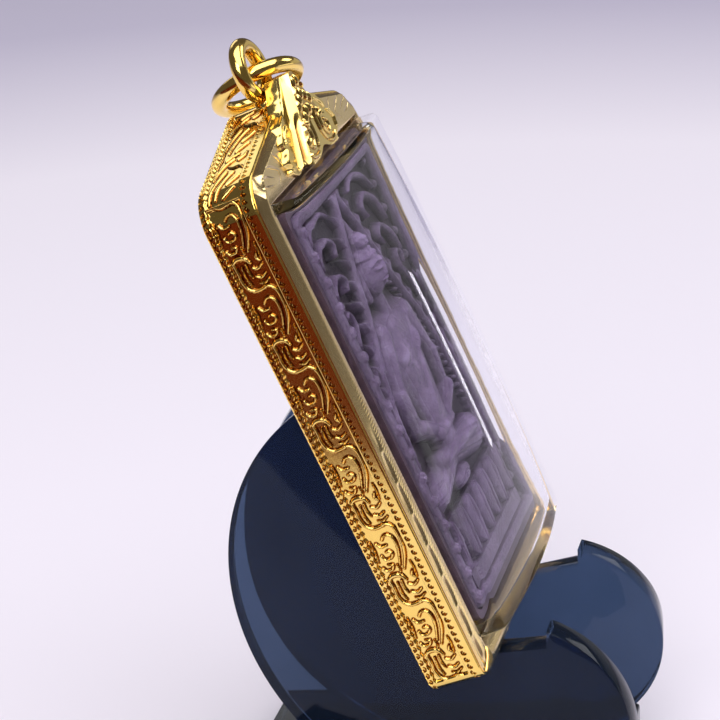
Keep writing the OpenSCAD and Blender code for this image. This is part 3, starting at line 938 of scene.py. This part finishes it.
def mound(x, z, at, rx, rz, rise):
    """A low rounded mound on an ellipse, a hair below the ground outside it."""
    return rise * half_round(np.hypot((x - at[0]) / rx, (z - at[1]) / rz)) - 0.001


# A plain face, right half, from the head's middle: brow, lowered lid, nose, level mouth, lip
FACE = [
    [(0.12, 0.5, 0.1), (0.6, 0.72, 0.12), (1.25, 0.45, 0.07)],
    [(0.35, 0.1, 0.05), (0.72, -0.02, 0.15), (1.15, 0.12, 0.05)],
    [(0, 0.45, 0.1), (0, -0.3, 0.17), (0, -0.62, 0.3)],
    [(0, -1.12, 0.15), (0.3, -1.1, 0.12), (0.6, -1.06, 0.05)],
    [(0, -1.4, 0.15), (0.3, -1.36, 0.09)],
]
CURL_W, CURL_H = 0.54, 0.5


def figure_height(x, z):
    """A calm seated figure: x from its middle, z along the case."""
    ax, up, head_up = np.abs(x), z - LAP_Z, z - HEAD_Z
    rise = np.zeros(x.shape)

    def raise_to(value):
        np.maximum(rise, value, out=rise)

    # Crossed legs with the upper foot, and the robe's hem between the knees
    raise_to(capsule(ax, up, (6.3, -0.7), (0, 0.3), 2.1, 1.8, 1))
    raise_to(capsule(x, up, (5.4, 0.5), (-3.5, 0.9), 1.15, 0.9, -0.25))
    raise_to(mound(x, up, (0, -1.9), 2.4, 1, 0.9))
    # Body and chest
    waist = 2.5 + 1.6 * smooth_step(up, 3, 11)
    raise_to(1.15 * np.sqrt(np.clip(1 - (ax / waist) ** 2, 0, 1) * window(up, 0, 1, 13, 15)))
    raise_to(mound(ax, up, (1.7, 10.6), 2.1, 1.7, 1.3))
    # Upper arms, forearms and the two hands in the lap
    raise_to(capsule(ax, up, (3.2, 13), (5.1, 8.2), 1.35, 1.1, 0.15))
    raise_to(capsule(ax, up, (5.1, 8.2), (4.6, 4.6), 1.1, 0.9, 0.05))
    raise_to(capsule(ax, up, (4.7, 4.8), (1.3, 3), 0.9, 0.75, -0.3))
    raise_to(capsule(x, up, (-1.9, 2.9), (1.9, 2.9), 0.8, 0.65, -0.55))
    # The sash over one shoulder and the robe's folds
    sash = np.clip(1 - np.abs(x * 0.93 - (up - 7) * 0.36 - 0.2) / 0.55, 0, 1)
    rise += 0.12 * sash * (rise > 0.6) * smooth_step(up, 4, 5) * (up < 14)
    folds = smooth_step(zigzag(z + 0.25 * ax, 0.85), 0.6, 1)
    rise -= 0.07 * folds * (up < 1.6) * (rise > 0.3)
    # Neck, head and ears
    raise_to(capsule(x, up, (0, 13.5), (0, HEAD_Z - LAP_Z - 1.6), 1.05, 0.95, 0.1))
    raise_to(mound(x, head_up, (0, 0), 1.95, 2.45, 1.75))
    raise_to(capsule(ax, head_up, (1.95, 0.7), (2.05, -1.9), 0.34, 0.42, -0.35))
    # Hair cap with small curls, topknot and its flame
    hair = (head_up > 0.95 + 0.12 * ax ** 2) & (np.hypot(x / 2.15, head_up / 2.7) < 1)
    every_other = CURL_W / 2 * (np.floor(z / CURL_H) % 2)
    curl = np.hypot(np.mod(x + every_other, CURL_W) - CURL_W / 2, np.mod(z, CURL_H) - CURL_H / 2)
    curl_rise = 0.16 * np.clip(1 - curl / 0.25, 0, 1)
    raise_to(np.where(hair, mound(x, head_up, (0, 0), 2.15, 2.7, 1.75) + curl_rise, 0))
    on_knot = np.hypot(x, head_up - 2.6) < 1.05
    raise_to(mound(x, head_up, (0, 2.6), 1.15, 1.15, 1.5) + 0.75 * curl_rise * on_knot)
    raise_to(capsule(x, head_up, (0, 3.4), (0, 5.4), 0.55, 0.12, -0.35) * (head_up > 3.2))
    return rise + 0.2 * ridges(ax, head_up, FACE, 0.03) * (rise > 0.5)


def petals(x, up, tall):
    """A row of pointed lotus petals, with up the distance above its foot."""
    local = (np.mod(x / PETAL_PITCH + 0.5, 1) - 0.5) * PETAL_PITCH
    share = up / tall
    wide = 0.5 * PETAL_PITCH * np.sqrt(np.clip(1 - np.clip(share, 0, 1) ** 2.2, 0, 1))
    inside = (share > 0) & (share < 1) & (np.abs(x) < PETALS_HALF) & (np.abs(local) < wide)
    vein = 0.35 * np.exp(-(local / 0.08) ** 2)
    return np.where(inside, 0.5 + 0.5 * half_round(local / np.maximum(wide, TINY)) - vein, 0)


# Height along the case, half of the arch's width there, and how square a step across is to it
ARCH = np.array([(15.4, 8.6), (19, 8.4), (22.5, 7.9), (26.7, 6.4), (31.2, 4.2), (34, 3.2),
                 (36.8, 2), (39, 0.9), (40.4, 0.25)])
ARCH_SQUARE = np.array([(15, 1), (20, 0.97), (26, 0.88), (33, 0.86), (41, 0.84)])
# Curled leaves in the corners over the arch
CORNER_LEAVES = [
    [(9, 27.5, 0.1), (8.2, 29.5, 0.35), (7, 31, 0.3), (7.4, 32.3, 0.3), (8.4, 31.9, 0.25),
     (8.2, 31, 0.15)],
    [(8.9, 31.5, 0.1), (8.4, 33.8, 0.4), (6.6, 35.2, 0.35), (5.4, 34.6, 0.3), (5.8, 33.7, 0.18)],
    [(8.8, 35, 0.1), (8, 37.2, 0.45), (6, 38.3, 0.4), (4.6, 37.6, 0.3), (5, 36.6, 0.2)],
    [(8.9, 38, 0.1), (7.4, 39.7, 0.4), (4.8, 40.3, 0.35), (3.2, 39.6, 0.2)],
    [(9, 23.5, 0.1), (8.6, 25.3, 0.3), (7.7, 26.9, 0.22)],
]


def on_tablet(a, b):
    return (a * 2 - 1) * TABLET_HALF, TABLET_LOW + (TABLET_HIGH - TABLET_LOW) * b


def tablet_height(a, b):
    x, z = on_tablet(a, b)
    edge = np.minimum(TABLET_HALF - np.abs(x), np.minimum(z - TABLET_LOW, TABLET_HIGH - z))
    from_arch, from_seat, above = np.abs(x - ARCH_X), x - SEAT_X, z - LOTUS_LOW
    rise = np.full(x.shape, GROUND)

    def add(value, where=True):
        np.maximum(rise, np.where(where, value, 0), out=rise)

    # Lotus seat: base step, drum, then two rows of petals that point down and up
    add(1, (np.abs(from_seat) < 8.5) & (above > -1.7) & (above < -0.2))
    add(0.72, (np.abs(from_seat) < 8) & (above > -0.2) & (above < LOTUS_H))
    add(GROUND + petals(from_seat, 2.3 - above, 2.25) * 0.95)
    add(GROUND + petals(from_seat, above - 2.35, 2.3))
    # Arch with a bead row inside it and flames outside
    off = from_arch - np.interp(z, ARCH[:, 0], ARCH[:, 1])
    off = off * np.interp(z, ARCH_SQUARE[:, 0], ARCH_SQUARE[:, 1])
    there = (z > 12.3) & (z < 40.9)
    add(GROUND + 0.95 * half_round(off / 0.45), there)
    beads = np.hypot(off + 0.75, np.mod(z, 0.8) - 0.4)
    add(GROUND + 0.7 * half_round(beads / 0.3), there & (from_arch > 0.9))
    flame = 1 - zigzag(z - 0.7 * np.clip(off, 0, None), 1.7) - off / 2.1
    flame = np.clip(flame, 0, 1) * (off > 0) * (off < 1.9)
    add(GROUND + 0.75 * smooth_step(flame, 0, 0.5), there & (z > 17))
    # Posts at both sides and a beaded border along the rim
    add(0.8, (z > 12.2) & (z < 17) & (np.abs(from_arch - 8.4) < 0.7))
    to_bead = np.mod(z, BORDER_PITCH) - BORDER_PITCH / 2
    border = half_round(np.hypot(edge - 1.65, to_bead) / 0.5)
    add(GROUND + 0.55 * border * (np.abs(x) > BEADS_FROM))
    add(GROUND + 0.85 * ridges(from_arch, z, CORNER_LEAVES, 0.08))
    figure = figure_height(x - FIGURE_X, z)
    add(GROUND + figure * FIGURE_SCALE, figure > 0.02)
    # The raised rim with a step inside it, and beads set on it at one side
    rise = np.where(edge < RIM_W, RIM - 0.12 * smooth_step(edge, 0.6, 1), rise)
    step = (edge >= RIM_W) & (edge < RIM_W + 0.12)
    rise = np.where(step, np.minimum(rise, RIM_FOOT), rise)
    rim_bead = np.hypot(edge - 0.6, to_bead) / 0.5
    beaded = np.maximum(rise, RIM - 0.05 + 0.4 * half_round(rim_bead) - (rim_bead > 1))
    rise = np.where(x < -BEADS_FROM, beaded, rise)
    return rise - 0.25 * (1 - smooth_step(edge, 0, 0.3)) ** 2


def tablet_place(a, b, h):
    """A rectangle whose corners are drawn in to a radius."""
    x, z = on_tablet(a, b)
    corner_x = np.clip(np.abs(x) - (TABLET_HALF - OPENING_R), 0, None)
    corner_z = np.clip(np.abs(z - TABLET_MID) - (TABLET_HALF_H - OPENING_R), 0, None)
    reach = np.maximum(np.hypot(corner_x, corner_z), 1e-9)
    pull = np.where(reach > 1e-9, 1 - np.maximum(corner_x, corner_z) / reach, 0)
    return x - np.sign(x) * corner_x * pull, h, z - np.sign(z - TABLET_MID) * corner_z * pull


# The rise's share of reach sets the powder's painted highlight and shade
relief_slab("tablet", (214, 372), tablet_place, tablet_height, TABLET_THICK, powder,
            reach=(GROUND - 0.2, 2), nodes=("amulet",), sharp=75)

# The dark spacer round the tablet: half width, lower and upper edge of its outside and inside
LINING_OUT, LINING_IN = (11.3, 3.8, 42.5), (10.85, 4.45, 41.85)
LINING_FLOOR, LINING_TOP = -1.15, 0.7
spacer = loops_bridged([[(x, front, z) for x, z in rounded_rectangle(*size, OPENING_R)]
                        for size, front in ((LINING_OUT, LINING_FLOOR), (LINING_OUT, LINING_TOP),
                                            (LINING_IN, LINING_TOP), (LINING_IN, LINING_FLOOR))],
                       closed_ends=False)
ops.bridge_loops(spacer, edges=open_edges(spacer))
face_outward(spacer)
add_piece("lining", spacer, lining)


# Stand

PLATE_T, PLATE_GAP, PLATE_TOE, BASE_T = 2.5, 9.6, 7.5, 3
BACK_LOBE, BACK_R = (4.33, 23), 21.2
FRONT_LOBE, FRONT_R = (-2.07, 12.3), 9.75
SEAT_Z, SEAT_TILT, STEP_Y = 17.946, 15, -4.1
BASE_W, BASE_FRONT, BASE_BACK = 23.8, -9, 25
CHAMFER, BASE_ROUND = 0.18, 0.3
STAND_SHARP = 30


def plate_outline():
    """The plate's outline, y back and z up, anticlockwise from the back of the foot."""
    lean = math.radians(LEAN)
    back = BAND_D + 0.1
    foot = (back * math.cos(lean), FOOT_Z - back * math.sin(lean))
    up = (math.sin(lean), math.cos(lean))
    across = (BACK_LOBE[0] - foot[0], BACK_LOBE[1] - foot[1])
    middle = across[0] * up[0] + across[1] * up[1]
    reach = middle + math.sqrt(middle ** 2 - across[0] ** 2 - across[1] ** 2 + BACK_R ** 2)
    top = (foot[0] + reach * up[0], foot[1] + reach * up[1])
    top_turn = math.atan2(top[1] - BACK_LOBE[1], top[0] - BACK_LOBE[0])
    low_turn = math.asin((BASE_T - BACK_LOBE[1]) / BACK_R)
    front_low = math.pi - math.asin((BASE_T - FRONT_LOBE[1]) / FRONT_R)
    front_high = math.acos((STEP_Y - FRONT_LOBE[0]) / FRONT_R)
    corner_y = BAND_D * math.cos(lean)
    step_z = SEAT_Z + (corner_y - STEP_Y) * math.tan(math.radians(SEAT_TILT))
    seat = [(foot[0] + 0.03, foot[1] + 0.06), (foot[0], SEAT_Z), (corner_y, SEAT_Z),
            (STEP_Y, step_z)]
    return [row[:2] for row in arc(BACK_LOBE, BACK_R, low_turn, top_turn, 72) + seat
            + arc(FRONT_LOBE, FRONT_R, front_high, front_low, 64)]


def stand_plate(side):
    """A plate that toes in towards the back, with its seat and back face square to the case."""
    toe = math.radians(PLATE_TOE)
    bm = extruded([(-PLATE_T / 2, y, z) for y, z in plate_outline()], (PLATE_T, 0, 0))
    rims = [e for e in bm.edges if len(e.link_faces) == 2 and e.calc_face_angle(0) > 1.2
            and abs(e.verts[0].co.x - e.verts[1].co.x) < TINY]
    ops.bevel(bm, geom=rims, offset=CHAMFER, segments=2, affect="EDGES", profile=0.5, material=-1)
    for vert in bm.verts:
        x, y = vert.co.x, vert.co.y - MID_Y
        vert.co.x = side * (PLATE_GAP + PLATE_T) / 2 + x * math.cos(toe) - side * y * math.sin(toe)
        # On the seat a point keeps its distance from the case; round the lobes it turns
        # with the plate
        turned = side * x * math.sin(toe) + y * math.cos(toe)
        near_seat = smooth_step(vert.co.z, 12, 18) * (1 - smooth_step(y + MID_Y, 14, 20))
        vert.co.y = MID_Y + turned + (y - turned) * float(near_seat)
    return bm


for side, hand in ((-1, "left"), (1, "right")):
    add_piece("stand_side_" + hand, stand_plate(side), smoked,
              ("stand_plate_" + hand,), at=ON_FLOOR, sharp=STAND_SHARP)

base = bmesh.new()
ops.create_cube(base, size=1)
ops.scale(base, verts=base.verts, vec=(BASE_W, BASE_BACK - BASE_FRONT, BASE_T))
set_at(base, (0, (BASE_BACK + BASE_FRONT) / 2, BASE_T / 2))
ops.bevel(base, geom=base.edges[:], offset=BASE_ROUND, segments=3, affect="EDGES", profile=0.5,
          material=-1)
add_piece("stand_foot", base, smoked, ("stand_base",), at=ON_FLOOR,
          sharp=STAND_SHARP)


# Floor, light and camera, in metres

def stage_plane(name, size, at, material):
    bm = bmesh.new()
    ops.create_grid(bm, x_segments=1, y_segments=1, size=0.5)
    ops.scale(bm, verts=bm.verts, vec=(*size, 1))
    plane = new_object(name, set_at(bm, at), material)
    plane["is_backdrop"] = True
    return plane


# Pale lavender with a painted pool of light: brightest round the object, falling off softly away
# from it
floor_paint, nodes, shader = new_material("floor_paint")
coordinates = nodes.new("ShaderNodeTexCoord")
length = new_node(nodes, "VectorMath", {0: coordinates.outputs["Object"]})
length.operation = "LENGTH"
# Painted pool of light: the colour darkens with distance from the floor's middle
light_pool = ramp(nodes, length.outputs["Value"],
             [(0, (0.88, 0.83, 0.93)), (0.2, (0.88, 0.83, 0.93)), (0.3, (0.57, 0.53, 0.68)),
              (0.6, (0.43, 0.4, 0.54)), (1, (0.36, 0.34, 0.45))])
set_inputs(shader, {"Base Color": light_pool, "Roughness": 0.7})
stage_plane("floor", (6, 6), (0, 0, 0), floor_paint)

# A matt card seen only in reflections, for the dark upper part of the band
card_paint, _, shader = new_material("dark_card")
set_inputs(shader, {"Base Color": (0.1, 0.02, 0.01, 1), "Roughness": 1, "Specular IOR Level": 0})
card = stage_plane("dark_card", (2, 1.3), (-1.09, 0.3, 0.0005), card_paint)
card.visible_camera = card.visible_diffuse = False
card.visible_transmission = card.visible_shadow = False

world = bpy.data.worlds.new("studio")
bpy.context.scene.world = world
world.use_nodes = True
set_inputs(world.node_tree.nodes["Background"],
           {"Color": (0.86, 0.78, 0.74, 1), "Strength": 0.11})


def softbox(name, at, aim_z, size, power, colour=(1, 1, 1)):
    """A rectangular lamp that faces a height over the floor's middle."""
    light = bpy.data.lights.new(name, "AREA")
    light.shape = "RECTANGLE"
    light.size, light.size_y = size
    light.energy = power
    light.color = colour
    lamp = bpy.data.objects.new(name, light)
    lamp.location = at
    facing = Vector((0, 0, aim_z)) - Vector(at)
    lamp.rotation_euler = facing.to_track_quat("-Z", "Y").to_euler()
    bpy.context.scene.collection.objects.link(lamp)


softbox("top_box", (-0.1, -0.1, 0.75), 0.03, (0.85, 0.85), 5.9, (0.97, 0.97, 1))
softbox("left_box", (-0.6, 0.05, 0.5), 0.04, (0.45, 0.35), 2.1)
softbox("front_box", (0.5, -0.45, 0.5), 0.04, (0.35, 0.3), 1)
softbox("low_box", (0.2, -0.75, 0.03), 0.05, (0.6, 0.12), 0.26)
softbox("right_box", (0.9, -0.5, 0.17), 0.05, (1, 0.34), 0.36)
softbox("rear_box", (0.75, 0.6, 0.42), 0.05, (0.5, 0.4), 0.7)

CAMERA_AT = (-0.170928, -0.0438475, 0.116715)
RIGHT = Vector((0.26211, -0.96376, -0.04973))
UP = Vector((0.38487, 0.05714, 0.9212))
FORWARD = Vector((0.88497, 0.26059, -0.3859))
camera_data = bpy.data.cameras.new("camera")
camera_data.lens = 111.157
camera_data.sensor_width = 36
camera_data.clip_start, camera_data.clip_end = 0.01, 20
camera = bpy.data.objects.new("camera", camera_data)
bpy.context.scene.collection.objects.link(camera)
facing = Matrix((RIGHT, UP, -FORWARD)).transposed().to_4x4()
camera.matrix_world = Matrix.Translation(CAMERA_AT) @ facing
bpy.context.scene.camera = camera
bpy.context.scene.view_settings.view_transform = "Standard"

low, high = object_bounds()
